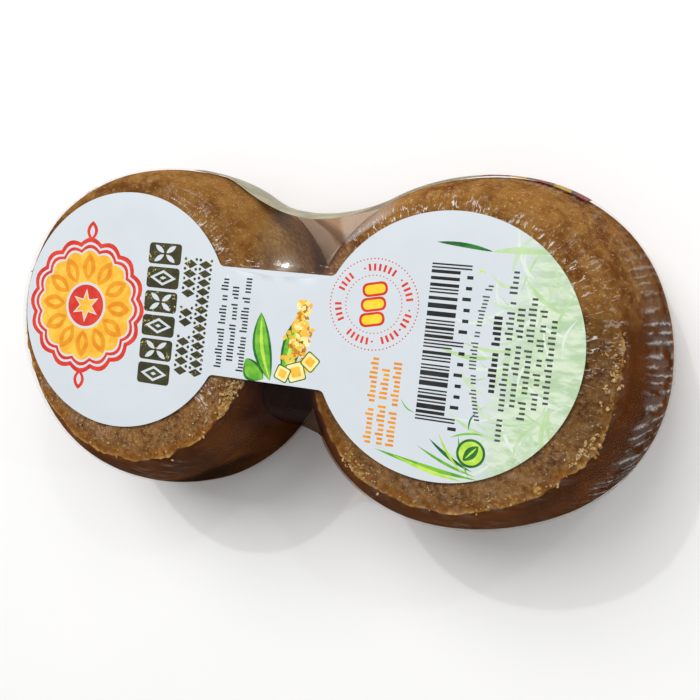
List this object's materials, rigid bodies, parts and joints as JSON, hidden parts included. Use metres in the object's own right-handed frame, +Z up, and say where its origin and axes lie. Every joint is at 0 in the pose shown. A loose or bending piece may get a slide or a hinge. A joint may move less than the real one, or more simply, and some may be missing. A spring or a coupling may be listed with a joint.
{
  "type": "round panela pack",
  "caption": "Pack of round panela cakes side by side in clear shrink film, with a dumbbell-shaped paper label over their flat upper faces.",
  "frame": {"origin": "middle of the footprint, at the height of the flat base that the pack rests on", "axes": "+X from the left cake to the right cake, +Z up out of the label"},
  "size_m": [0.1558, 0.0824, 0.0377],
  "materials": {
    "panela": "raw cane sugar, rough and crystalline on the upper face, smooth on the side",
    "film": "clear glossy shrink film with fine wrinkles",
    "label": "satin coated paper with printed fields of colour"
  },
  "bodies": {
    "root": {"panela_left": "panela", "panela_right": "panela", "film_waist": "film", "label": "label"}
  },
  "joints": []
}
